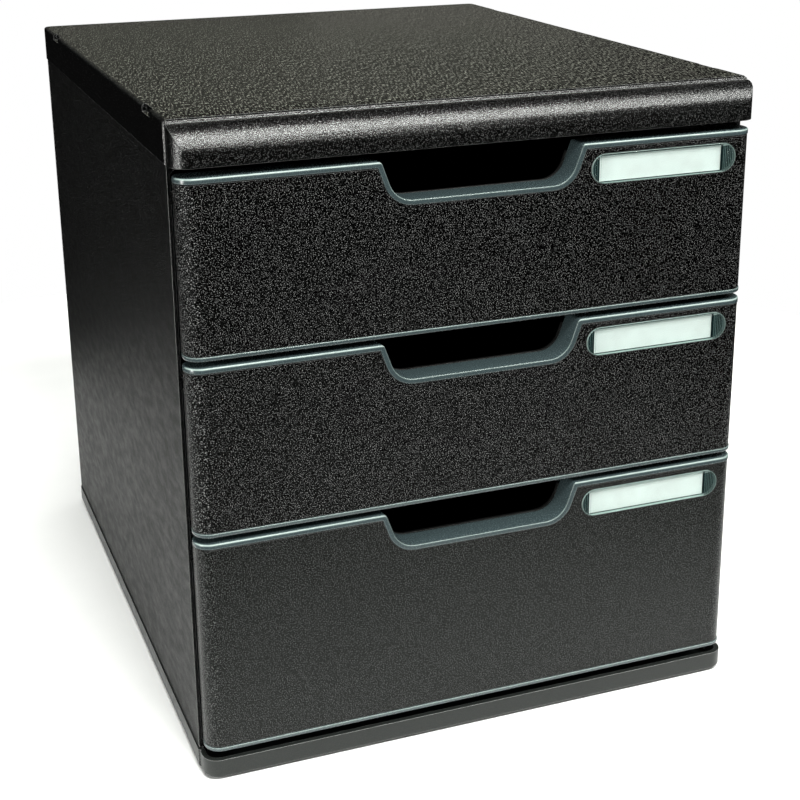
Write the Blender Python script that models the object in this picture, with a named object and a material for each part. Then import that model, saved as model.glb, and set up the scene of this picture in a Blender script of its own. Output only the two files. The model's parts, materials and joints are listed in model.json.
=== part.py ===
"""Desktop file drawer: a case of five mouldings with three drawers that slide out of its front.

Lengths are in metres, +Z is up, the drawers face -Y and the origin is under the middle of the case.
"""
import math

import bmesh
import bpy
from mathutils import Vector

# Overall size of the case
CASE_WIDTH = 0.288
CASE_DEPTH = 0.350
CASE_HEIGHT = 0.320

# Clearances
SEAT_GAP = 0.0003
SLIDE_GAP = 0.0008
FRONT_TO_PANEL_GAP = 0.0012
CUT_OVERRUN = 0.004
WELD_DEPTH = 0.0006

# Walls of the case
COVER_HEIGHT = 0.0195
COVER_WALL = 0.0025
COVER_PLATE = 0.0027
BASE_HEIGHT = 0.0111
BASE_PLATE = 0.0025
PANEL_WALL = 0.0016
PANEL_SET_IN = 0.0008
TONGUE_WALL = 0.0022
TONGUE_REACH = 0.0058
TONGUE_ROOT = 0.0045

# Noses along the front of the top cover and the base
NOSE_DEPTH = 0.0128
NOSE_SET_IN = 0.0006
NOSE_RADIUS = 0.008
COVER_NOSE_RUN = 0.0109
COVER_NOSE_RISE = 0.0168
COVER_EDGE = 0.0016
BASE_EDGE = 0.0022
REAR_RADIUS = 0.003
INNER_RADIUS = 0.0005
RIM_GROOVE_WIDTH = 0.0008
RIM_GROOVE_DEPTH = 0.0006
RIM_STEP = 0.0005
RIM_BEVEL = 0.0006

# Recesses that take the clips between stacked cases
RECESS_LENGTH = 0.016
RECESS_FROM_MIDDLE = 0.128
COVER_RECESS_WIDTH = 0.002
COVER_RECESS_DEPTH = 0.0034
BASE_RECESS_WIDTH = 0.0012
BASE_RECESS_HEIGHT = 0.0034

# Feet
FOOT_RADIUS = 0.0075
FOOT_STAND = 0.0008
FOOT_SINK = 0.0012
FOOT_FROM_EDGE = 0.020
FOOT_EDGE = 0.0004

# Drawer fronts, from the top one down
LOW_FRONT_SHARE = 0.3015
FRONT_SPACING = 0.003
FRONT_BELOW_COVER = 0.0043
FRONT_ABOVE_BASE = 0.0045
FRONT_WIDTH = 0.284
FRONT_BODY_DEPTH = 0.0133
FRONT_RADIUS = 0.008
FRONT_REAR_RADIUS = 0.004
FRONT_WALL = 0.002
LIP_TOP = 0.0025
LIP_BOTTOM = 0.0021
LIP_EDGE = 0.0008

# Finger gap in each drawer front
FINGER_WIDTH = 0.100
FINGER_DEPTH = 0.0185
FINGER_LEAN = 0.0067
FINGER_RADIUS = 0.012
FINGER_SHOULDER = 0.002
FINGER_LIP = 0.0023
FINGER_LIP_SHOULDER = 0.0004

# Textured plate on each drawer front
PLATE_WALL = 0.0018
PLATE_SET_BACK = 0.0003
PLATE_TOP_GAP = 0.0005

# Label holder
LABEL_FROM_FINGER = 0.0046
LABEL_HEIGHT = 0.0140
LABEL_FROM_RIGHT = 0.0100
LABEL_BELOW_LIP = 0.0032
LABEL_WALL = 0.0014
LABEL_POCKET = 0.0008
CARD_FROM_LEFT = 0.0048
CARD_FROM_RIGHT = 0.0073
CARD_HEIGHT = 0.0121
CARD_BELOW_MIDDLE = 0.0003
CARD_THICKNESS = 0.0004
LABEL_RIBS = 4
LABEL_RIB_PITCH = 0.0010
LABEL_GROOVE_WIDTH = 0.0004
LABEL_GROOVE_DEPTH = 0.0005
LABEL_RIB_FROM_END = 0.0020

# Drawer tubs
TUB_WALL = 0.0018
TUB_SET_BACK = 0.0004
TUB_FLOOR = 0.0018
TUB_REAR_SPACE = 0.0065
TUB_DRAFT = 0.002
TUB_RADIUS = 0.006
TUB_FLOOR_RADIUS = 0.002
TUB_LIFT = 0.0015
RIM_BELOW_TOP = 0.0056
RIM_THICKNESS = 0.002
RIM_WIDTH = 0.005

# Runners moulded on the side panels, and the stops that end the travel
RUNNER_THICKNESS = 0.002
RUNNER_GUSSET = 0.004
GUIDE_LENGTH = 0.0565
GUIDE_THICKNESS = 0.0022
STOP_LENGTH = 0.006
STOP_WIDTH = 0.003
STOP_FROM_REAR = 0.009

# Facets
NOSE_STEPS = 12
ARC_STEPS = 7
PROFILE_STEPS = 8
LIP_STEPS = 3
EDGE_STEPS = 4
FOOT_STEPS = 32

FRONT = -CASE_DEPTH / 2
REAR = CASE_DEPTH / 2
PANEL_OUTER = CASE_WIDTH / 2 - PANEL_SET_IN
PANEL_INNER = PANEL_OUTER - PANEL_WALL
PANEL_FRONT = FRONT + FRONT_BODY_DEPTH + FRONT_TO_PANEL_GAP
REAR_PANEL_OUTER = REAR - PANEL_SET_IN
REAR_PANEL_INNER = REAR_PANEL_OUTER - PANEL_WALL
PANEL_BOTTOM = BASE_HEIGHT + SEAT_GAP
COVER_BOTTOM = CASE_HEIGHT - COVER_HEIGHT
PANEL_TOP = COVER_BOTTOM - SEAT_GAP
TONGUE_OUTER = CASE_WIDTH / 2 - COVER_WALL - SEAT_GAP
RIM_OUTER = PANEL_INNER - SLIDE_GAP
TUB_OUTER = RIM_OUTER - RIM_WIDTH
RUNNER_INNER = TUB_OUTER + SLIDE_GAP
FRONT_HALF = FRONT_WIDTH / 2
TUB_REAR = CASE_DEPTH - PANEL_SET_IN - PANEL_WALL - TUB_REAR_SPACE

FRONTS_TOP = COVER_BOTTOM - FRONT_BELOW_COVER
FRONTS_HEIGHT = FRONTS_TOP - BASE_HEIGHT - FRONT_ABOVE_BASE
LOW_FRONT_HEIGHT = (FRONTS_HEIGHT + FRONT_SPACING) * LOW_FRONT_SHARE - FRONT_SPACING
TALL_FRONT_HEIGHT = FRONTS_HEIGHT - (LOW_FRONT_HEIGHT + FRONT_SPACING) * 2
FRONT_HEIGHTS = (LOW_FRONT_HEIGHT, LOW_FRONT_HEIGHT, TALL_FRONT_HEIGHT)
LABEL_LENGTH = FRONT_HALF - FINGER_WIDTH / 2 - LABEL_FROM_FINGER - LABEL_FROM_RIGHT
CARD_LENGTH = LABEL_LENGTH - CARD_FROM_LEFT - CARD_FROM_RIGHT
DRAWER_NAMES = ("top_drawer", "middle_drawer", "bottom_drawer")


def remove_everything():
    """Empties the scene."""
    for item in list(bpy.data.objects):
        bpy.data.objects.remove(item, do_unlink=True)


def plastic(name, colour, roughness, alpha=1.0):
    """A plain moulded plastic."""
    made = bpy.data.materials.new(name)
    made.use_nodes = True
    shader = made.node_tree.nodes["Principled BSDF"]
    shader.inputs["Base Color"].default_value = (*colour, 1.0)
    shader.inputs["Roughness"].default_value = roughness
    shader.inputs["Metallic"].default_value = 0.0
    shader.inputs["Alpha"].default_value = alpha
    made.diffuse_color = (*colour, alpha)
    return made


def add_mesh(name, mesh_tools, finish):
    """Turns a bmesh into a named object with one material."""
    bmesh.ops.recalc_face_normals(mesh_tools, faces=mesh_tools.faces)
    mesh = bpy.data.meshes.new(name)
    mesh_tools.to_mesh(mesh)
    mesh_tools.free()
    if finish:
        mesh.materials.append(finish)
    made = bpy.data.objects.new(name, mesh)
    bpy.context.scene.collection.objects.link(made)
    return made


def ring_solid(name, rings, finish=None):
    """A closed solid through rings of points, each with the same count, capped at both ends."""
    tools = bmesh.new()
    loops = [[tools.verts.new(point) for point in ring] for ring in rings]
    for lower, upper in zip(loops, loops[1:]):
        for index, corner in enumerate(lower):
            following = (index + 1) % len(lower)
            tools.faces.new((corner, lower[following], upper[following], upper[index]))
    tools.faces.new(loops[0])
    tools.faces.new(loops[-1])
    return add_mesh(name, tools, finish)


def prism(name, outline, axis, low, high, finish=None):
    """Extrudes a flat outline along one axis. Its two numbers are the other two axes in order."""
    place = {
        "X": lambda a, b, along: (along, a, b),
        "Y": lambda a, b, along: (a, along, b),
        "Z": lambda a, b, along: (a, b, along),
    }[axis]
    rings = [[place(a, b, along) for a, b in outline] for along in (low, high)]
    return ring_solid(name, rings, finish)


def boxes(name, extents, finish=None):
    """One mesh of separate boxes, each given by its lowest and highest corner."""
    tools = bmesh.new()
    for low, high in extents:
        size = Vector(high) - Vector(low)
        made = bmesh.ops.create_cube(tools, size=1.0)["verts"]
        bmesh.ops.scale(tools, vec=size, verts=made)
        bmesh.ops.translate(tools, vec=(Vector(low) + Vector(high)) / 2, verts=made)
    return add_mesh(name, tools, finish)


def boolean(target, other, operation):
    """Cuts or joins with a helper that is hidden afterwards."""
    step = target.modifiers.new(f"{operation.lower()} {other.name}", "BOOLEAN")
    step.operation = operation
    step.solver = "EXACT"
    step.object = other
    other.hide_render = True
    other.display_type = "WIRE"
    other.parent = target.parent
    return target


def cut(target, cutter):
    return boolean(target, cutter, "DIFFERENCE")


def join(target, addition):
    return boolean(target, addition, "UNION")


def smooth(item, degrees=35.0):
    """Smooth shading with sharp edges kept."""
    item.data.shade_smooth()
    item.data.set_sharp_from_angle(angle=math.radians(degrees))


def mirrored(right_half):
    """Completes an outline whose points run from the rear middle round to the front middle."""
    return right_half + [(-x, y) for x, y in reversed(right_half)]


def arc(centre_x, centre_y, radius, start, end, steps=ARC_STEPS):
    """Points of an arc, both ends included, in degrees."""
    angles = [math.radians(start + (end - start) * index / steps) for index in range(steps + 1)]
    return [(centre_x + radius * math.cos(a), centre_y + radius * math.sin(a)) for a in angles]


def rounded(corners, radii):
    """A closed outline with each corner rounded. A radius of zero keeps the corner sharp."""
    outline = []
    for index, (corner, radius) in enumerate(zip(corners, radii)):
        here = Vector(corner)
        before = (Vector(corners[index - 1]) - here).normalized()
        after = (Vector(corners[(index + 1) % len(corners)]) - here).normalized()
        if radius <= 0:
            outline.append(tuple(here))
            continue
        opening = before.angle(after)
        centre = here + (before + after).normalized() * (radius / math.sin(opening / 2))
        start = here + before * (radius / math.tan(opening / 2)) - centre
        end = here + after * (radius / math.tan(opening / 2)) - centre
        turn = start.angle_signed(end)
        for step in range(ARC_STEPS + 1):
            angle = -turn * step / ARC_STEPS
            spun = Vector((
                start.x * math.cos(angle) - start.y * math.sin(angle),
                start.x * math.sin(angle) + start.y * math.cos(angle),
            ))
            outline.append(tuple(centre + spun))
    return outline


def nose_path(half_width, rear, front, radius, clip):
    """Side and corner of a front, from rear to the line y = clip, in even steps."""
    straight = rear - (front + radius)
    if clip >= front + radius:
        length = rear - clip
    else:
        length = straight + radius * math.asin(min(1.0, (front + radius - clip) / radius))
    points = []
    for index in range(NOSE_STEPS + 1):
        run = length * index / NOSE_STEPS
        if run <= straight:
            points.append((half_width, rear - run))
        else:
            turn = (run - straight) / radius
            across = half_width - radius + radius * math.cos(turn)
            points.append((across, front + radius - radius * math.sin(turn)))
    return points


def case_outline(inset, nose_run=0.0, edge=0.0):
    """Plan of the top cover or base, moved in by inset, with its nose cut back by nose_run."""
    half = CASE_WIDTH / 2 - inset - edge
    rear = REAR - inset - edge
    radius = max(REAR_RADIUS - inset, INNER_RADIUS)
    nose_half = half - NOSE_SET_IN
    nose_rear = FRONT + NOSE_DEPTH
    front = FRONT + inset
    right_half = arc(half - radius, rear - radius, radius, 90, 0)
    right_half.append((half, nose_rear + NOSE_SET_IN))
    right_half += nose_path(nose_half, nose_rear, front + edge, NOSE_RADIUS - inset, front + edge + nose_run)
    return mirrored(right_half)


def at_height(outline, height):
    return [(x, y, height) for x, y in outline]


def cover_nose(inset, depth):
    """Rings up the rounded nose of the top cover, for its outer or its inner face."""
    start = CASE_HEIGHT - COVER_NOSE_RISE - depth
    rings = []
    for index in range(PROFILE_STEPS + 1):
        turn = math.pi / 2 * index / PROFILE_STEPS
        run = COVER_NOSE_RUN * (1 - math.cos(turn))
        rise = (COVER_NOSE_RISE - COVER_EDGE) * math.sin(turn)
        rings.append(at_height(case_outline(inset, run), start + rise))
    return rings


def cover_edge():
    """Rings over the rounded top edge of the cover, where the nose ends in a steep bevel."""
    rings = []
    for index in range(EDGE_STEPS):
        turn = math.pi / 2 * (index + 1) / EDGE_STEPS
        edge = COVER_EDGE * (1 - math.cos(turn))
        run = COVER_NOSE_RUN + RIM_BEVEL * math.sin(turn)
        height = CASE_HEIGHT - COVER_EDGE * (1 - math.sin(turn))
        rings.append(at_height(case_outline(0, run - edge, edge), height))
    return rings


def build_top_cover(finish):
    """A pan with its open side down, a rounded nose below a step, a rim groove and four clip recesses."""
    inner = cover_nose(COVER_WALL, COVER_PLATE - COVER_EDGE)
    inner.insert(0, at_height(case_outline(COVER_WALL), COVER_BOTTOM))
    outer = cover_nose(0, 0)
    outer.insert(0, at_height(case_outline(0), COVER_BOTTOM))
    cover = ring_solid("top_cover", inner[::-1] + outer + cover_edge(), finish)
    reach = CASE_WIDTH / 2 + CUT_OVERRUN
    cut(cover, prism("rim_groove_cutter", rim_groove(), "X", -reach, reach))
    cut(cover, boxes("cover_side_groove_cutter", side_grooves(COVER_BOTTOM, CASE_HEIGHT)))
    recesses = clip_recesses(COVER_RECESS_WIDTH, CASE_HEIGHT - COVER_RECESS_DEPTH, CASE_HEIGHT + CUT_OVERRUN)
    cut(cover, boxes("cover_recess_cutter", recesses))
    smooth(cover)
    return cover


def rim_groove():
    """Section of the step down to the nose and of the groove at its foot."""
    rear = FRONT + NOSE_DEPTH
    ridge = rear - RIM_GROOVE_WIDTH
    nose_top = CASE_HEIGHT - RIM_STEP
    floor = nose_top - RIM_GROOVE_DEPTH
    clear = (FRONT - CUT_OVERRUN, CASE_HEIGHT + CUT_OVERRUN)
    return [(clear[0], nose_top), (ridge, nose_top), (ridge, floor), (rear, floor), (rear, clear[1]), clear]


def side_grooves(low, high):
    """The groove down both sides of the nose."""
    rear = FRONT + NOSE_DEPTH
    made = []
    for side in (-1, 1):
        floor = side * (CASE_WIDTH / 2 - NOSE_SET_IN - RIM_GROOVE_DEPTH)
        edges = sorted((floor, side * (CASE_WIDTH / 2 + CUT_OVERRUN)))
        made.append(((edges[0], rear - RIM_GROOVE_WIDTH, low - CUT_OVERRUN),
                     (edges[1], rear, high + CUT_OVERRUN)))
    return made


def clip_recesses(width, low, high):
    """Four boxes that notch the long edges of the case."""
    made = []
    for side in (-1, 1):
        for end in (-1, 1):
            edges = sorted((side * (CASE_WIDTH / 2 - width), side * (CASE_WIDTH / 2 + CUT_OVERRUN)))
            middle = end * RECESS_FROM_MIDDLE
            made.append(((edges[0], middle - RECESS_LENGTH / 2, low),
                         (edges[1], middle + RECESS_LENGTH / 2, high)))
    return made


def build_base(finish):
    """A pan with its open side up, the same nose in plan, a rounded lower edge and foot pockets."""
    floor = FOOT_STAND
    outer = []
    for index in range(ARC_STEPS + 1):
        turn = math.pi / 2 * index / ARC_STEPS
        edge = BASE_EDGE * (1 - math.sin(turn))
        outer.append(at_height(case_outline(0, 0.0, edge), floor + BASE_EDGE * (1 - math.cos(turn))))
    outer.append(at_height(case_outline(0), BASE_HEIGHT))
    inner = [at_height(case_outline(COVER_WALL), BASE_HEIGHT),
             at_height(case_outline(COVER_WALL), floor + BASE_PLATE)]
    base = ring_solid("base", outer + inner, finish)
    recesses = clip_recesses(BASE_RECESS_WIDTH, -CUT_OVERRUN, BASE_RECESS_HEIGHT)
    cut(base, boxes("base_recess_cutter", recesses))
    cut(base, boxes("base_side_groove_cutter", side_grooves(floor, BASE_HEIGHT)))
    for index, (x, y) in enumerate(foot_places()):
        pocket = foot_disc(f"foot_pocket_cutter_{index + 1}", FOOT_RADIUS + SEAT_GAP,
                           -CUT_OVERRUN, floor + FOOT_SINK + SEAT_GAP, 0.0)
        pocket.location = (x, y, 0)
        cut(base, pocket)
    smooth(base)
    return base


def foot_places():
    across = CASE_WIDTH / 2 - FOOT_FROM_EDGE
    along = CASE_DEPTH / 2 - FOOT_FROM_EDGE
    return [(side * across, end * along) for end in (-1, 1) for side in (-1, 1)]


def foot_disc(name, radius, low, high, edge, finish=None):
    """A short disc with a softened lower edge."""
    rings = []
    for reach, height in ((radius - edge, low), (radius, low + edge), (radius, high)):
        if rings and height <= rings[-1][0][2]:
            continue
        rings.append(at_height(arc(0, 0, reach, 0, 360, FOOT_STEPS)[:-1], height))
    return ring_solid(name, rings, finish)


def build_feet(finish):
    """Four soft pads in the pockets of the base."""
    made = []
    for index, (x, y) in enumerate(foot_places()):
        foot = foot_disc(f"foot_{index + 1}", FOOT_RADIUS, 0.0, FOOT_STAND + FOOT_SINK, FOOT_EDGE, finish)
        foot.location = (x, y, 0)
        smooth(foot)
        made.append(foot)
    return made


def front_tops():
    """Height of the upper edge of each drawer front."""
    tops = []
    top = FRONTS_TOP
    for height in FRONT_HEIGHTS:
        tops.append(top)
        top -= height + FRONT_SPACING
    return tops


def rim_underside(top):
    return top - RIM_BELOW_TOP - RIM_THICKNESS


def panel_section(side):
    """Cross section of a side panel: a wall, its two tongues and a runner for each drawer."""
    inner_tongue = TONGUE_OUTER - TONGUE_WALL
    section = [(PANEL_OUTER, PANEL_BOTTOM), (PANEL_OUTER, PANEL_TOP), (TONGUE_OUTER, PANEL_TOP),
               (TONGUE_OUTER, PANEL_TOP + TONGUE_REACH), (inner_tongue, PANEL_TOP + TONGUE_REACH),
               (inner_tongue, PANEL_TOP - TONGUE_ROOT + (PANEL_INNER - inner_tongue)),
               (PANEL_INNER, PANEL_TOP - TONGUE_ROOT)]
    for top in front_tops():
        seat = rim_underside(top) - SEAT_GAP
        section += [(PANEL_INNER, seat), (RUNNER_INNER, seat), (RUNNER_INNER, seat - RUNNER_THICKNESS),
                    (PANEL_INNER, seat - RUNNER_THICKNESS - RUNNER_GUSSET)]
    section += [(PANEL_INNER, PANEL_BOTTOM + TONGUE_ROOT),
                (inner_tongue, PANEL_BOTTOM + TONGUE_ROOT - (PANEL_INNER - inner_tongue)),
                (inner_tongue, PANEL_BOTTOM - TONGUE_REACH), (TONGUE_OUTER, PANEL_BOTTOM - TONGUE_REACH),
                (TONGUE_OUTER, PANEL_BOTTOM)]
    return [(side * x, z) for x, z in section]


def build_side_panel(name, side, finish):
    """A side wall with its runners, and a short guide over each runner at the front."""
    panel = prism(name, panel_section(side), "Y", PANEL_FRONT, REAR_PANEL_INNER - SEAT_GAP, finish)
    guides = []
    for top in front_tops():
        low = top - RIM_BELOW_TOP + SLIDE_GAP
        edges = sorted((side * RUNNER_INNER, side * (PANEL_INNER + WELD_DEPTH)))
        guides.append(((edges[0], PANEL_FRONT + WELD_DEPTH, low),
                       (edges[1], PANEL_FRONT + GUIDE_LENGTH, low + GUIDE_THICKNESS)))
    join(panel, boxes(f"{name}_guides", guides))
    return panel


def build_back_panel(finish):
    """The rear wall, with a tongue up into the top cover and one down into the base."""
    panel = boxes("back_panel", [((-PANEL_OUTER, REAR_PANEL_INNER, PANEL_BOTTOM),
                                  (PANEL_OUTER, REAR_PANEL_OUTER, PANEL_TOP))], finish)
    half = TONGUE_OUTER - TONGUE_WALL - SEAT_GAP
    rear = REAR - COVER_WALL - SEAT_GAP
    front = rear - TONGUE_WALL
    wall = REAR_PANEL_INNER + WELD_DEPTH
    for end, edge in ((1, PANEL_TOP), (-1, PANEL_BOTTOM)):
        tip = edge + end * TONGUE_REACH
        shoulder = edge - end * WELD_DEPTH
        root = edge - end * TONGUE_ROOT
        outline = [(wall, root), (wall, shoulder), (rear, shoulder), (rear, tip), (front, tip),
                   (front, root + end * (wall - front))]
        join(panel, prism(f"back_panel_tongue_{'up' if end > 0 else 'down'}", outline, "X", -half, half))
    return panel


def front_outline(inset, edge=0.0):
    """Plan of a drawer front, measured from its own front face."""
    half = FRONT_HALF - inset - edge
    front = inset + edge
    turn = FRONT_BODY_DEPTH - FRONT_REAR_RADIUS
    right_half = arc(half - FRONT_REAR_RADIUS, turn, FRONT_REAR_RADIUS, 90, 0, LIP_STEPS * 2)
    right_half += nose_path(half, turn, front, FRONT_RADIUS - inset - edge, front)[1:]
    return mirrored(right_half)


def finger_side(below_top, offset):
    """Half width of the finger gap at a depth below the top, with its side moved out by offset."""
    lean = FINGER_LEAN / FINGER_DEPTH
    return FINGER_WIDTH / 2 - lean * below_top + offset * math.hypot(1.0, lean)


def finger_outline(height, offset, shoulder_drop, shoulder):
    """The finger gap seen from the front, widened by offset, and open at the top."""
    floor = FINGER_DEPTH + offset
    above = -CUT_OVERRUN
    flare = FINGER_WIDTH / 2 + CUT_OVERRUN
    right = [(flare, above), (flare, shoulder_drop), (finger_side(shoulder_drop, offset), shoulder_drop),
             (finger_side(floor, offset), floor)]
    radii = [0.0, 0.0, shoulder, FINGER_RADIUS + offset]
    corners = right + [(-x, below) for x, below in reversed(right)]
    return [(x, height - below) for x, below in rounded(corners, radii + radii[::-1])]


def pan_outline(height):
    """The hollow behind the plate, seen from the front: everything under the lip and the finger gap."""
    reach = FRONT_HALF + CUT_OVERRUN
    floor = FINGER_DEPTH + FINGER_LIP
    right = [(reach, height - LIP_BOTTOM), (reach, LIP_TOP), (finger_side(LIP_TOP, FINGER_LIP), LIP_TOP),
             (finger_side(floor, FINGER_LIP), floor)]
    radii = [0.0, 0.0, FINGER_LIP_SHOULDER, FINGER_RADIUS + FINGER_LIP]
    corners = right + [(-x, below) for x, below in reversed(right)]
    return [(x, height - below) for x, below in rounded(corners, radii + radii[::-1])]


def tub_outline(half, front, rear, radius):
    right_half = arc(half - radius, rear - radius, radius, 90, 0)
    right_half += arc(half - radius, front + radius, radius, 0, -90)
    return mirrored(right_half)


def build_trim(name, height, parent, finish):
    """The front moulding: a lip above and below, the finger gap, and the wall that joins them behind."""
    levels = []
    for index in range(LIP_STEPS + 1):
        turn = math.pi / 2 * index / LIP_STEPS
        levels.append((LIP_EDGE * (1 - math.sin(turn)), LIP_EDGE * (1 - math.cos(turn))))
    rings = [at_height(front_outline(0, edge), level) for edge, level in levels]
    rings += [at_height(front_outline(0, edge), height - level) for edge, level in reversed(levels)]
    trim = ring_solid(f"{name}_trim", rings, finish)
    trim.parent = parent
    pan = prism(f"{name}_pan_cutter", pan_outline(height), "Y", -CUT_OVERRUN, FRONT_BODY_DEPTH - FRONT_WALL)
    cut(trim, pan)
    gap = finger_outline(height, 0.0, 0.0, FINGER_SHOULDER)
    cut(trim, prism(f"{name}_finger_cutter", gap, "Y", -CUT_OVERRUN, FRONT_BODY_DEPTH + CUT_OVERRUN))
    smooth(trim)
    return trim


def build_tub(name, height, parent, finish):
    """The open box behind the trim, with the rim it slides on and the blocks that stop it."""
    rim_front = FRONT_BODY_DEPTH + SEAT_GAP
    front = rim_front + TUB_SET_BACK
    rear = TUB_REAR
    rim_top = height - RIM_BELOW_TOP
    radius = TUB_RADIUS
    edge = TUB_FLOOR_RADIUS

    def outer(draft, level):
        return at_height(tub_outline(TUB_OUTER - draft, front, rear - draft, radius), level)

    def inner(draft, level):
        half = TUB_OUTER - TUB_WALL - draft
        outline = tub_outline(half, front + TUB_WALL, rear - TUB_WALL - draft, radius - TUB_WALL)
        return at_height(outline, level)

    rim = tub_outline(RIM_OUTER, rim_front, rear + RIM_WIDTH / 2, radius)
    floor = TUB_LIFT + TUB_FLOOR
    rings = [outer(TUB_DRAFT + edge, TUB_LIFT), outer(TUB_DRAFT, TUB_LIFT + edge),
             outer(0.0, rim_top - RIM_THICKNESS), at_height(rim, rim_top - RIM_THICKNESS),
             at_height(rim, rim_top), inner(0.0, rim_top), inner(TUB_DRAFT, floor + edge),
             inner(TUB_DRAFT + edge, floor)]
    tub = ring_solid(f"{name}_tub", rings, finish)
    tub.parent = parent
    gap = finger_outline(height, 0.0, 0.0, FINGER_SHOULDER)
    through = front + TUB_WALL + CUT_OVERRUN
    cut(tub, prism(f"{name}_tub_finger_cutter", gap, "Y", front - CUT_OVERRUN, through))
    join(tub, boxes(f"{name}_stops", stop_blocks(height)))
    smooth(tub)
    return tub


def stop_blocks(height):
    """A block on each side rim, near its rear end, that meets the guide when the drawer is out."""
    rear = TUB_REAR - STOP_FROM_REAR
    low = height - RIM_BELOW_TOP - WELD_DEPTH
    high = height - RIM_BELOW_TOP + SLIDE_GAP + GUIDE_THICKNESS
    outer = RIM_OUTER - SLIDE_GAP
    made = []
    for side in (-1, 1):
        edges = sorted((side * (outer - STOP_WIDTH), side * outer))
        made.append(((edges[0], rear - STOP_LENGTH, low), (edges[1], rear, high)))
    return made


def label_middle(height):
    """Place of the label holder on a drawer front."""
    across = FRONT_HALF - LABEL_FROM_RIGHT - LABEL_LENGTH / 2
    return across, height - LIP_TOP - LABEL_BELOW_LIP - LABEL_HEIGHT / 2


def stadium(middle, length, height):
    """A bar outline with round ends."""
    x, z = middle
    half = (length - height) / 2
    steps = ARC_STEPS * 2
    return (arc(x + half, z, height / 2, -90, 90, steps) + arc(x - half, z, height / 2, 90, 270, steps))


def build_front_plate(name, height, parent, finish):
    """The textured plate that wraps the drawer front between its lips."""
    seat = FRONT_BODY_DEPTH - FRONT_WALL - SEAT_GAP
    outer_front = PLATE_SET_BACK
    inner_front = PLATE_SET_BACK + PLATE_WALL
    outer, inner = (nose_path(FRONT_HALF - inset, seat, inset, FRONT_RADIUS - inset, inset)
                    for inset in (outer_front, inner_front))
    outline = mirrored(outer) + mirrored(inner)[::-1]
    low = LIP_BOTTOM + SEAT_GAP
    high = height - LIP_TOP - PLATE_TOP_GAP
    plate = prism(f"{name}_front_plate", outline, "Z", low, high, finish)
    plate.parent = parent
    gap = finger_outline(height, FINGER_LIP + SEAT_GAP, LIP_TOP, 0.0)
    cut(plate, prism(f"{name}_plate_finger_cutter", gap, "Y", -CUT_OVERRUN, inner_front + CUT_OVERRUN))
    hole = stadium(label_middle(height), LABEL_LENGTH + SEAT_GAP * 2, LABEL_HEIGHT + SEAT_GAP * 2)
    cut(plate, prism(f"{name}_label_hole_cutter", hole, "Y", -CUT_OVERRUN, inner_front + CUT_OVERRUN))
    smooth(plate)
    return plate


def card_extent(height, margin, front, rear):
    x, middle = label_middle(height)
    z = middle - CARD_BELOW_MIDDLE
    left = x - LABEL_LENGTH / 2 + CARD_FROM_LEFT
    half_height = CARD_HEIGHT / 2 + margin
    return (left - margin, front, z - half_height), (left + CARD_LENGTH + margin, rear, z + half_height)


def build_label(name, height, parent, clear, paper):
    """A clear bar with fine ribs at both ends, and the card in its rear pocket."""
    depth = LABEL_WALL + LABEL_POCKET
    middle = label_middle(height)
    outline = stadium(middle, LABEL_LENGTH, LABEL_HEIGHT)
    window = prism(f"{name}_label_window", outline, "Y", 0.0, depth, clear)
    window.parent = parent
    pocket = card_extent(height, SEAT_GAP, LABEL_WALL, depth + CUT_OVERRUN)
    cut(window, boxes(f"{name}_card_pocket_cutter", [pocket]))
    grooves = []
    for side in (-1, 1):
        for index in range(LABEL_RIBS):
            from_end = LABEL_RIB_FROM_END + index * LABEL_RIB_PITCH
            x = middle[0] + side * (LABEL_LENGTH / 2 - from_end)
            grooves.append(((x - LABEL_GROOVE_WIDTH / 2, -CUT_OVERRUN, middle[1] - LABEL_HEIGHT),
                            (x + LABEL_GROOVE_WIDTH / 2, LABEL_GROOVE_DEPTH, middle[1] + LABEL_HEIGHT)))
    cut(window, boxes(f"{name}_rib_cutter", grooves))
    smooth(window)
    front = LABEL_WALL + SEAT_GAP
    card = boxes(f"{name}_label_card", [card_extent(height, 0.0, front, front + CARD_THICKNESS)], paper)
    card.parent = parent


def build_drawer(name, top, height, finishes):
    """One drawer, on an empty at the foot of its front face that slides along -Y."""
    slide = bpy.data.objects.new(f"{name}_slide", None)
    slide.empty_display_size = FRONT_RADIUS
    slide.location = (0, FRONT, top - height)
    bpy.context.scene.collection.objects.link(slide)
    build_trim(name, height, slide, finishes["slate"])
    build_tub(name, height, slide, finishes["tub"])
    build_front_plate(name, height, slide, finishes["grained"])
    build_label(name, height, slide, finishes["clear"], finishes["paper"])


def main():
    remove_everything()
    finishes = {
        "shell": plastic("black shell plastic", (0.018, 0.018, 0.019), 0.55),
        "panel": plastic("black panel plastic", (0.022, 0.022, 0.024), 0.5),
        "satin": plastic("satin dark grey plastic", (0.045, 0.046, 0.046), 0.38),
        "grained": plastic("grained black plastic", (0.02, 0.02, 0.021), 0.6),
        "slate": plastic("slate grey plastic", (0.085, 0.115, 0.12), 0.35),
        "tub": plastic("black tub plastic", (0.012, 0.012, 0.013), 0.5),
        "clear": plastic("clear plastic", (0.8, 0.9, 0.88), 0.05, 0.35),
        "paper": plastic("white card", (0.78, 0.88, 0.84), 0.8),
        "rubber": plastic("black rubber", (0.015, 0.015, 0.015), 0.9),
    }
    build_top_cover(finishes["shell"])
    build_base(finishes["satin"])
    build_side_panel("side_panel_left", -1, finishes["panel"])
    build_side_panel("side_panel_right", 1, finishes["panel"])
    build_back_panel(finishes["panel"])
    build_feet(finishes["rubber"])
    for name, top, height in zip(DRAWER_NAMES, front_tops(), FRONT_HEIGHTS):
        build_drawer(name, top, height, finishes)


main()
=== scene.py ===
import json
import math

import bpy
from mathutils import Matrix, Vector

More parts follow.
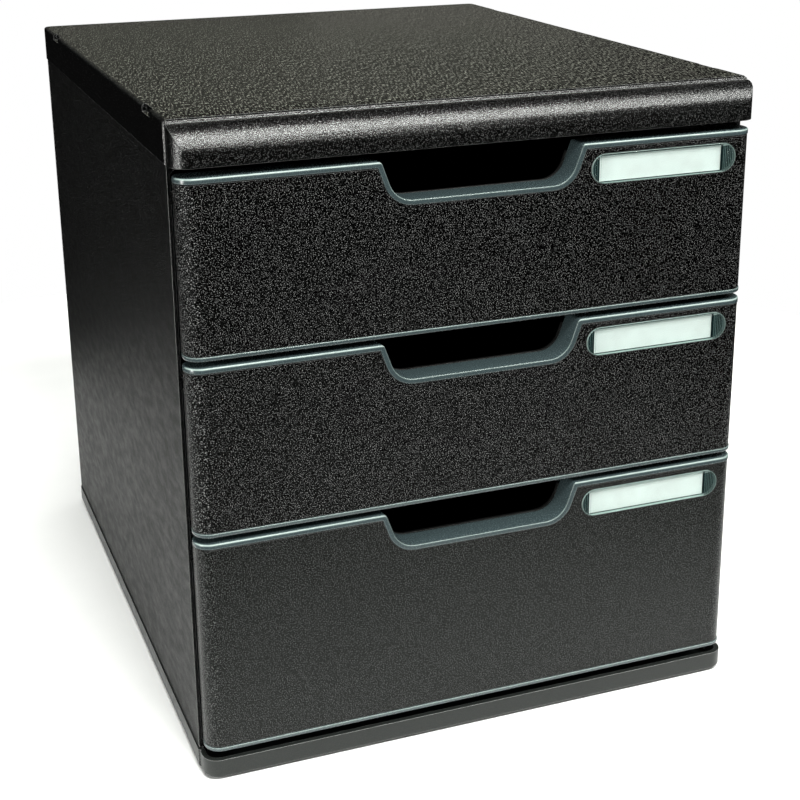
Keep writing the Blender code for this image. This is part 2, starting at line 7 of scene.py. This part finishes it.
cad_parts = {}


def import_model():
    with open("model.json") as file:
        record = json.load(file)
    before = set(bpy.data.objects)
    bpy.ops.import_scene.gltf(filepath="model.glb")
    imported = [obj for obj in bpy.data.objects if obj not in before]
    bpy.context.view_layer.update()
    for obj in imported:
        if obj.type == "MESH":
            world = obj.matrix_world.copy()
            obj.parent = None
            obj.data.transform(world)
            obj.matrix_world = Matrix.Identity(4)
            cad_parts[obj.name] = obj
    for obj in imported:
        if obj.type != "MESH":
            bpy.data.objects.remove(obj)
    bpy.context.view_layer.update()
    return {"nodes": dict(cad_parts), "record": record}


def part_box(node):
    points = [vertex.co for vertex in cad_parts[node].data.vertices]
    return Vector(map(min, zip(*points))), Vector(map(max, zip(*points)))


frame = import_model()

MM = 0.001

# Colours
WHITE = (1.0, 1.0, 1.0)
# Tint of the cover top's specks, which are partly a painted sheen.
OLIVE = (0.99, 1.0, 0.85)
STUDIO_WHITE = (0.985, 1.0, 0.965)
WARM_WHITE = (1.0, 0.97, 0.86)
OLIVE_WHITE = (1.0, 1.0, 0.84)

# Moulded grain, which a stretch below 1 makes longer from front to back
FINE_GRAIN = 0.42 * MM
TOP_STRETCH = 0.14
PANEL_STRETCH = 0.4
NOISE_ROUGHNESS = 0.55
BEVEL_SAMPLES = 4

# Smooth shading
WELD_DISTANCE = 0.01 * MM
SHARP_ANGLE = math.radians(35)

# Label window, whose pale rib lines and outline are painted highlights
RIB_PITCH = 1.0 * MM
OUTLINE_OUTER = 0.05 * MM
OUTLINE_INNER = 0.30 * MM

# Floor, whose inner part lights the case and whose rim only takes the shadow of an open drawer
FLOOR_CORNERS = 96
FLOOR_MIDDLE_Y = 0.07
FLOOR_RADIUS = 0.42
RIM_RADIUS = 0.60

# Light
ROOM_LIGHT = 0.01
FRONT_AIM = (0.0, -0.17, 0.3)

# Camera, fitted to the photo
CAMERA_PLACE = (-0.2784744, -0.8045961, 0.4413724)
CAMERA_YAW = 0.3593
CAMERA_PITCH = -0.3154
CAMERA_ROLL = -0.0101
CAMERA_SENSOR = 36.0
CAMERA_LENS = 69.49
CAMERA_SHIFT = -0.1
CAMERA_NEAR = 0.01
CAMERA_FAR = 20.0


# Node helpers

def grey(level, tint=WHITE):
    return tuple(level * part for part in tint)


class Nodes:
    """A material's node tree, with short ways to add and link nodes."""

    def __init__(self, name):
        self.material = bpy.data.materials.new(name)
        self.material.use_nodes = True
        self.tree = self.material.node_tree
        self.shader = self.tree.nodes["Principled BSDF"]

    def add(self, kind):
        return self.tree.nodes.new(kind)

    def link(self, source, target):
        self.tree.links.new(source, target)

    def surface(self, colour, roughness, normal):
        """Gives the shader its colour, roughness and normal."""
        self.link(colour, self.shader.inputs["Base Color"])
        self.link(roughness, self.shader.inputs["Roughness"])
        self.link(normal, self.shader.inputs["Normal"])

    def place(self, stretch=1.0):
        """Coordinates on the piece in metres, with Y multiplied by the stretch."""
        coordinates = self.add("ShaderNodeTexCoord")
        mapping = self.add("ShaderNodeMapping")
        mapping.inputs["Scale"].default_value = (1.0, stretch, 1.0)
        self.link(coordinates.outputs["Object"], mapping.inputs["Vector"])
        return mapping.outputs["Vector"]

    def own_normal(self):
        """The face's own normal."""
        return self.add("ShaderNodeNewGeometry").outputs["Normal"]

    def parts(self, vector):
        """The X, Y and Z of a vector."""
        made = self.add("ShaderNodeSeparateXYZ")
        self.link(vector, made.inputs["Vector"])
        return made.outputs["X"], made.outputs["Y"], made.outputs["Z"]

    def noise(self, place, size, detail):
        made = self.add("ShaderNodeTexNoise")
        made.inputs["Scale"].default_value = 1.0 / size
        made.inputs["Detail"].default_value = detail
        made.inputs["Roughness"].default_value = NOISE_ROUGHNESS
        self.link(place, made.inputs["Vector"])
        return made.outputs["Fac"]

    def ramp(self, factor, *stops):
        """A colour ramp through (position, colour) stops."""
        made = self.add("ShaderNodeValToRGB")
        elements = made.color_ramp.elements
        while len(elements) < len(stops):
            elements.new(0.5)
        for element, (position, colour) in zip(elements, stops):
            element.position = position
            element.color = (*colour, 1.0)
        self.link(factor, made.inputs["Fac"])
        return made.outputs["Color"]

    def span(self, factor, low, high, start=0.3, end=0.7):
        """Low where the factor is at the start, high where it is at the end, and even between them."""
        made = self.add("ShaderNodeMapRange")
        made.inputs["From Min"].default_value = start
        made.inputs["From Max"].default_value = end
        made.inputs["To Min"].default_value = low
        made.inputs["To Max"].default_value = high
        self.link(factor, made.inputs["Value"])
        return made.outputs["Result"]

    def bump(self, height, strength, distance, under):
        """Bumps of a height in metres on top of another normal."""
        made = self.add("ShaderNodeBump")
        if isinstance(strength, float):
            made.inputs["Strength"].default_value = strength
        else:
            self.link(strength, made.inputs["Strength"])
        made.inputs["Distance"].default_value = distance
        self.link(height, made.inputs["Height"])
        self.link(under, made.inputs["Normal"])
        return made.outputs["Normal"]

    def bevel(self, radius):
        """The normal with the sharp edges rounded."""
        made = self.add("ShaderNodeBevel")
        made.samples = BEVEL_SAMPLES
        made.inputs["Radius"].default_value = radius
        return made.outputs["Normal"]

    def edges(self, rounded):
        """1 along the edges, where the rounded normal leaves the face's own, and 0 elsewhere."""
        dot = self.add("ShaderNodeVectorMath")
        dot.operation = "DOT_PRODUCT"
        self.link(rounded, dot.inputs[0])
        self.link(self.own_normal(), dot.inputs[1])
        return self.span(dot.outputs["Value"], 1.0, 0.0, 0.80, 0.98)

    def ridges(self, rounded):
        """1 where a rounded edge faces half up and to the front, and 0 on level and upright faces."""
        _, backward, upward = self.parts(rounded)
        half_up = self.ramp(upward, (0.15, grey(0.0)), (0.4675, grey(1.0)),
                            (0.6675, grey(1.0)), (0.985, grey(0.0)))
        return self.times(half_up, self.span(backward, 1.0, 0.0, -0.30, -0.12))

    def mix(self, factor, first, second):
        """A colour between two colours, each a socket or a plain colour."""
        made = self.add("ShaderNodeMix")
        made.data_type = "RGBA"
        self.link(factor, made.inputs["Factor"])
        colour_sockets = [socket for socket in made.inputs if socket.type == "RGBA"]
        for source, target in zip((first, second), colour_sockets):
            if isinstance(source, tuple):
                target.default_value = (*source, 1.0)
            else:
                self.link(source, target)
        return [socket for socket in made.outputs if socket.type == "RGBA"][0]

    def math(self, operation, *values):
        """An operation on sockets or plain numbers."""
        made = self.add("ShaderNodeMath")
        made.operation = operation
        for value, target in zip(values, made.inputs):
            if isinstance(value, float):
                target.default_value = value
            else:
                self.link(value, target)
        return made.outputs["Value"]

    def largest(self, first, second):
        return self.math("MAXIMUM", first, second)

    def times(self, first, second):
        return self.math("MULTIPLY", first, second)

    def from_middle(self, share, length):
        """The distance from the middle of a piece, from its share of the length."""
        return self.times(self.math("ABSOLUTE", self.math("SUBTRACT", share, 0.5)), length)


# Materials

def plastic(name, specks, grain, rough, depth, edge, edge_highlight, specular=0.5, stretch=1.0):
    """Moulded plastic with a spark-eroded grain.

    The specks are (position, colour) stops over a fine noise that also lifts the surface by depth; the bright
    specks are partly the grain's own tone and partly painted glints. Along the edges the colour turns
    lighter, a painted highlight. A stretch below 1 makes the grain longer from front to back, for faces that
    are seen edge-on.
    """
    n = Nodes(name)
    place = n.place(stretch)
    fine = n.noise(place, grain, 0.0)
    broad = n.noise(place, grain * 9.0, 1.0)
    rounded = n.bevel(edge)
    # Along the edges the colour turns lighter, a painted highlight.
    colour = n.mix(n.edges(rounded), n.ramp(fine, *specks), edge_highlight)
    n.surface(colour, n.span(broad, *rough), n.bump(fine, 1.0, depth, rounded))
    n.shader.inputs["Specular IOR Level"].default_value = specular
    return n.material


def cover_plastic():
    """The cover's moulding: fine grain on the nose, a longer olive one on top, little gloss at the left. The
    top's lighter olive specks are partly a painted sheen, the left face is darkened as painted shade, and the
    edges and the half-down lower edge get pale painted highlights.
    """
    n = Nodes("cover_plastic")
    rightward, _, upward = n.parts(n.own_normal())
    top = n.span(upward, 0.0, 1.0, 0.97, 1.0)
    # The left face, where the specks give way to near black as painted shade.
    shaded_left_face = n.span(rightward, 1.0, 0.0, -0.99, -0.92)
    # Faces turned half down, along the nose's lower edge, get a pale grey, a painted highlight.
    downward = n.span(upward, 0.0, 1.0, -1.0, 0.0)
    under = n.ramp(downward, (0.05, grey(0.0)), (0.3, grey(1.0)), (0.75, grey(1.0)), (0.9, grey(0.0)))
    fine = n.noise(n.place(), FINE_GRAIN, 0.0)
    long_grain = n.noise(n.place(TOP_STRETCH), FINE_GRAIN, 0.0)
    rounded = n.bevel(0.25 * MM)
    front_specks = n.ramp(fine, (0.47, grey(0.0)), (0.60, grey(0.002)), (0.73, grey(0.05)))
    # The top's specks are lighter and olive, partly grain and partly a painted sheen and glints.
    top_specks_and_sheen = n.ramp(long_grain, (0.46, grey(0.0)), (0.58, grey(0.005, OLIVE)),
                        (0.70, grey(0.185, OLIVE)))
    specks = n.mix(shaded_left_face, n.mix(top, front_specks, top_specks_and_sheen), grey(0.0015))
    # The lighter grey along the edges, such as the rim lines, is a painted highlight.
    with_edge_highlight = n.mix(n.edges(rounded), specks, grey(0.17))
    front_grain = n.bump(fine, n.math("SUBTRACT", 1.0, top), 0.16 * MM, rounded)
    all_grain = n.bump(long_grain, top, 0.30 * MM, front_grain)
    n.surface(n.mix(under, with_edge_highlight, grey(0.80)), n.span(fine, 0.27, 0.21), all_grain)
    matt = n.largest(shaded_left_face, n.times(top, 0.5))
    n.link(n.span(matt, 0.62, 0.06, 0.0, 1.0), n.shader.inputs["Specular IOR Level"])
    return n.material


def slate_plastic():
    """Slate moulding with a satin gloss and a painted highlight on its rounded edges."""
    n = Nodes("slate_plastic")
    mottle = n.noise(n.place(), 0.5 * MM, 0.0)
    rounded = n.bevel(0.90 * MM)
    # Rounded edges facing half up and to the front, and the other edges more faintly, get a pale colour, a
    # painted highlight.
    pale = n.largest(n.ridges(rounded), n.times(n.edges(rounded), 0.35))
    ground = n.ramp(mottle, (0.3, (0.036, 0.052, 0.056)), (0.7, (0.042, 0.060, 0.064)))
    colour = n.mix(pale, ground, (0.34, 0.42, 0.40))
    n.surface(colour, n.span(mottle, 0.22, 0.28), n.bump(mottle, 1.0, 0.01 * MM, rounded))
    n.shader.inputs["Specular IOR Level"].default_value = 0.6
    return n.material


def card_paper():
    """Blank card with a faint mottle."""
    n = Nodes("label_card_paper")
    mottle = n.noise(n.place(), 6 * MM, 3.0)
    paper = n.ramp(mottle, (0.3, (0.83, 0.87, 0.85)), (0.7, (0.86, 0.90, 0.88)))
    n.link(paper, n.shader.inputs["Base Color"])
    n.link(n.span(mottle, 0.7, 0.8), n.shader.inputs["Roughness"])
    return n.material


def clear_plastic():
    """Clear moulding: dark green ends as painted shade, with thin pale ribs, a pale outline and a pale strip
    above the card as painted highlights.
    """
    n = Nodes("label_window_clear")
    lowest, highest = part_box("top_drawer_label_window")
    length, _, height = highest - lowest
    ripple = n.noise(n.place(), 9 * MM, 1.0)
    rounded = n.bevel(0.3 * MM)
    across, _, upward = n.parts(n.add("ShaderNodeTexCoord").outputs["Generated"])
    # The ends are drawn dark green, a painted shade.
    ends = n.ramp(across, (0.050, grey(1.0)), (0.054, grey(0.0)), (0.905, grey(0.0)), (0.910, grey(1.0)))
    # Thin pale lines on the ribs, a painted highlight.
    ribs = n.ramp(n.math("FRACT", n.times(across, length / RIB_PITCH)),
                  (0.70, grey(0.0)), (0.76, grey(0.45)), (0.82, grey(0.45)), (0.88, grey(0.0)))
    # A pale strip above the card, a painted highlight.
    strip = n.ramp(upward, (0.90, grey(0.0)), (0.92, grey(0.5)), (0.95, grey(0.5)), (0.97, grey(0.1)))
    # A pale outline along the window's rim, a painted highlight.
    straight = (length - height) / 2
    beside = n.largest(n.math("SUBTRACT", n.from_middle(across, length), straight), 0.0)
    above = n.from_middle(upward, height)
    from_axis = n.math("SQRT", n.math("ADD", n.times(beside, beside), n.times(above, above)))
    outline = n.span(from_axis, 0.0, 1.0, height / 2 - OUTLINE_INNER, height / 2 - OUTLINE_OUTER)
    pale = n.largest(outline, n.largest(strip, n.times(ends, ribs)))
    # The dark green is the painted shade of the ends, and the pale green the painted highlights.
    colour = n.mix(pale, (0.012, 0.030, 0.030), (0.42, 0.54, 0.51))
    n.surface(colour, n.span(ripple, 0.06, 0.10), n.bump(ripple, 0.1, 0.05 * MM, rounded))
    through = n.add("ShaderNodeBsdfTransparent")
    n.link(n.ramp(ripple, (0.3, (0.96, 0.985, 0.98)), (0.7, (0.97, 0.99, 0.985))), through.inputs["Color"])
    # The painted shade and highlights are mostly opaque.
    seen = n.largest(n.times(ends, 0.7), n.times(pale, 0.7))
    mix = n.add("ShaderNodeMixShader")
    n.link(n.largest(seen, n.span(ripple, 0.07, 0.10)), mix.inputs["Fac"])
    n.link(through.outputs["BSDF"], mix.inputs[1])
    n.link(n.shader.outputs["BSDF"], mix.inputs[2])
    n.link(mix.outputs["Shader"], n.tree.nodes["Material Output"].inputs["Surface"])
    return n.material


MATERIALS = {
    "shell": cover_plastic(),
    "panel": plastic(
        "panel_plastic",
        specks=((0.46, grey(0.0)), (0.60, grey(0.001)), (0.73, grey(0.035))),
        grain=0.45 * MM, rough=(0.42, 0.52), depth=0.16 * MM,
        edge=0.5 * MM, edge_highlight=grey(0.35), specular=0.095, stretch=PANEL_STRETCH),
    "satin": plastic(
        "base_plastic",
        specks=((0.40, (0.011, 0.013, 0.012)), (0.70, (0.017, 0.019, 0.0175))),
        grain=0.55 * MM, rough=(0.34, 0.42), depth=0.02 * MM,
        edge=0.3 * MM, edge_highlight=grey(0.40), specular=0.28),
    # The fronts' sparse bright specks are partly grain and partly painted glints.
    "grained": plastic(
        "front_plastic",
        specks=((0.53, grey(0.0)), (0.64, grey(0.003)), (0.76, grey(0.25))),
        grain=FINE_GRAIN, rough=(0.13, 0.17), depth=0.33 * MM,
        edge=0.35 * MM, edge_highlight=grey(0.14), specular=0.10),
    # The lowest front: its specks are greyer and evener, partly a smoother grain and partly a painted
    # reflection of the floor.
    "grained_low": plastic(
        "low_front_plastic",
        specks=((0.47, (0.003, 0.0035, 0.003)), (0.60, (0.009, 0.010, 0.009)), (0.74, grey(0.09))),
        grain=FINE_GRAIN, rough=(0.20, 0.26), depth=0.20 * MM,
        edge=0.35 * MM, edge_highlight=grey(0.14), specular=0.15),
    "slate": slate_plastic(),
    "tub": plastic(
        "tub_plastic",
        specks=((0.4, grey(0.004)), (0.7, grey(0.006))),
        grain=0.8 * MM, rough=(0.45, 0.55), depth=0.02 * MM,
        edge=0.3 * MM, edge_highlight=grey(0.03)),
    "foot_rubber": plastic(
        "foot_rubber",
        specks=((0.4, grey(0.008)), (0.7, grey(0.014))),
        grain=0.8 * MM, rough=(0.7, 0.85), depth=0.05 * MM,
        edge=0.3 * MM, edge_highlight=grey(0.03)),
    "card": card_paper(),
    "clear": clear_plastic(),
}


def dress(node, slot):
    """Gives a CAD node its material and smooth shading with its sharp edges kept."""
    piece = frame["nodes"][node]
    piece.data.materials.clear()
    piece.data.materials.append(MATERIALS[slot])
    for face in piece.data.polygons:
        face.use_smooth = True
        face.material_index = 0
    weld = piece.modifiers.new("weld", "WELD")
    weld.merge_threshold = WELD_DISTANCE
    split = piece.modifiers.new("split", "EDGE_SPLIT")
    split.split_angle = SHARP_ANGLE


def slot_of(entry):
    """The material of a CAD node. In the photo the lowest front is smoother than the others."""
    if entry["node"] == "bottom_drawer_front_plate":
        # Its greyer specks are partly a painted reflection of the floor.
        return "grained_low"
    return entry["material_slot"]


for entry in frame["record"]["subparts"]:
    dress(entry["node"], slot_of(entry))


# Stage, lights and camera

def circle(radius):
    """Corners of a circle on the floor, a little behind the middle of the case."""
    turns = [math.tau * i / FLOOR_CORNERS for i in range(FLOOR_CORNERS)]
    return [(radius * math.cos(turn), FLOOR_MIDDLE_Y + radius * math.sin(turn), 0.0) for turn in turns]


def ring_faces(count):
    """Four-cornered faces between an inner and an outer circle of as many corners."""
    following = [(i + 1) % count for i in range(count)]
    return [(i, count + i, count + after, after) for i, after in enumerate(following)]


def floor(name, corners, faces, lights_the_case):
    """A pale floor piece, which lights the case and shows in its gloss or only takes its shadow."""
    mesh = bpy.data.meshes.new(name)
    mesh.from_pydata(corners, [], faces)
    made = bpy.data.objects.new(name, mesh)
    bpy.context.scene.collection.objects.link(made)
    n = Nodes(name + "_white")
    mottle = n.noise(n.place(), 50 * MM, 2.0)
    n.link(n.ramp(mottle, (0.3, grey(0.92)), (0.7, grey(0.94))), n.shader.inputs["Base Color"])
    n.shader.inputs["Roughness"].default_value = 0.9
    mesh.materials.append(n.material)
    made.visible_glossy = lights_the_case
    made.visible_diffuse = lights_the_case


def softbox(name, place, aim, width, height, power, colour=STUDIO_WHITE, glossy=True, spread=180):
    """A rectangular light that the camera doesn't see, in metres and watts, with its spread in degrees."""
    lamp = bpy.data.lights.new(name, "AREA")
    lamp.shape = "RECTANGLE"
    lamp.size = width
    lamp.size_y = height
    lamp.energy = power
    lamp.color = colour
    lamp.spread = math.radians(spread)
    made = bpy.data.objects.new(name, lamp)
    made.location = place
    made.rotation_euler = (Vector(aim) - Vector(place)).to_track_quat("-Z", "Y").to_euler()
    made.visible_camera = False
    made.visible_glossy = glossy
    bpy.context.scene.collection.objects.link(made)


def background(tree, strength):
    """A white background node of the world."""
    made = tree.nodes.new("ShaderNodeBackground")
    made.inputs["Color"].default_value = (*WHITE, 1.0)
    made.inputs["Strength"].default_value = strength
    return made


def world():
    """White where the camera looks past the floor, and a dim grey room for everything else."""
    made = bpy.data.worlds.new("world")
    bpy.context.scene.world = made
    made.use_nodes = True
    tree = made.node_tree
    tree.nodes.clear()
    room = background(tree, ROOM_LIGHT)
    seen = background(tree, 1.0)
    path = tree.nodes.new("ShaderNodeLightPath")
    mix = tree.nodes.new("ShaderNodeMixShader")
    output = tree.nodes.new("ShaderNodeOutputWorld")
    tree.links.new(path.outputs["Is Camera Ray"], mix.inputs["Fac"])
    tree.links.new(room.outputs["Background"], mix.inputs[1])
    tree.links.new(seen.outputs["Background"], mix.inputs[2])
    tree.links.new(mix.outputs["Shader"], output.inputs["Surface"])


def camera():
    """The photo's own view."""
    data = bpy.data.cameras.new("camera")
    made = bpy.data.objects.new("camera", data)
    bpy.context.scene.collection.objects.link(made)
    level = math.cos(CAMERA_PITCH)
    forward = Vector((math.sin(CAMERA_YAW) * level, math.cos(CAMERA_YAW) * level, math.sin(CAMERA_PITCH)))
    right = Vector((math.cos(CAMERA_YAW), -math.sin(CAMERA_YAW), 0.0))
    up = right.cross(forward)
    turned_right = right * math.cos(CAMERA_ROLL) + up * math.sin(CAMERA_ROLL)
    turned_up = up * math.cos(CAMERA_ROLL) - right * math.sin(CAMERA_ROLL)
    facing = Matrix((turned_right, turned_up, -forward)).transposed()
    made.matrix_world = Matrix.Translation(CAMERA_PLACE) @ facing.to_4x4()
    data.sensor_width = CAMERA_SENSOR
    data.lens = CAMERA_LENS
    data.shift_y = CAMERA_SHIFT
    data.clip_start = CAMERA_NEAR
    data.clip_end = CAMERA_FAR
    bpy.context.scene.camera = made


def plain_view():
    """Colours shown as they are rendered."""
    view = bpy.context.scene.view_settings
    view.view_transform = "Standard"
    view.look = "None"
    view.exposure = 0.0
    view.gamma = 1.0


inner = circle(FLOOR_RADIUS)
floor("floor", inner, [tuple(range(FLOOR_CORNERS))], lights_the_case=True)
floor("floor_rim", inner + circle(RIM_RADIUS), ring_faces(FLOOR_CORNERS), lights_the_case=False)
world()
softbox("overhead", (0.0, -0.1, 1.4), (0.0, 0.0, 0.0), 1.8, 1.8, power=10.5, glossy=False, spread=60)
softbox("key_left", (0.05, -1.05, 1.42), FRONT_AIM, 0.5, 0.3, power=22)
softbox("key_middle", (0.5, -1.05, 1.4), FRONT_AIM, 0.5, 0.3, power=9)
softbox("key_right", (0.92, -1.05, 1.4), FRONT_AIM, 0.5, 0.3, power=15)
softbox("key_low", (0.9, -1.05, 0.95), FRONT_AIM, 0.4, 0.5, power=1)
softbox("left_strip", (-1.15, -0.5, 0.3), (-0.1, -0.17, 0.2), 0.25, 0.7, power=12)
softbox("back_low", (0.25, 0.75, 0.42), (0.0, 0.0, 0.3), 1.2, 0.2, power=0.02, colour=WARM_WHITE)
softbox("back_left", (0.14, 0.82, 0.45), (0.0, 0.1, 0.32), 0.8, 0.16, power=0.037, colour=OLIVE_WHITE)
softbox("back_right", (0.38, 0.62, 0.36), (0.1, 0.1, 0.32), 0.4, 0.05, power=0.01, colour=WARM_WHITE)
softbox("back_spot", (0.17, 0.62, 0.47), (0.0, 0.0, 0.32), 0.25, 0.15, power=0.004, colour=WARM_WHITE)
camera()
plain_view()
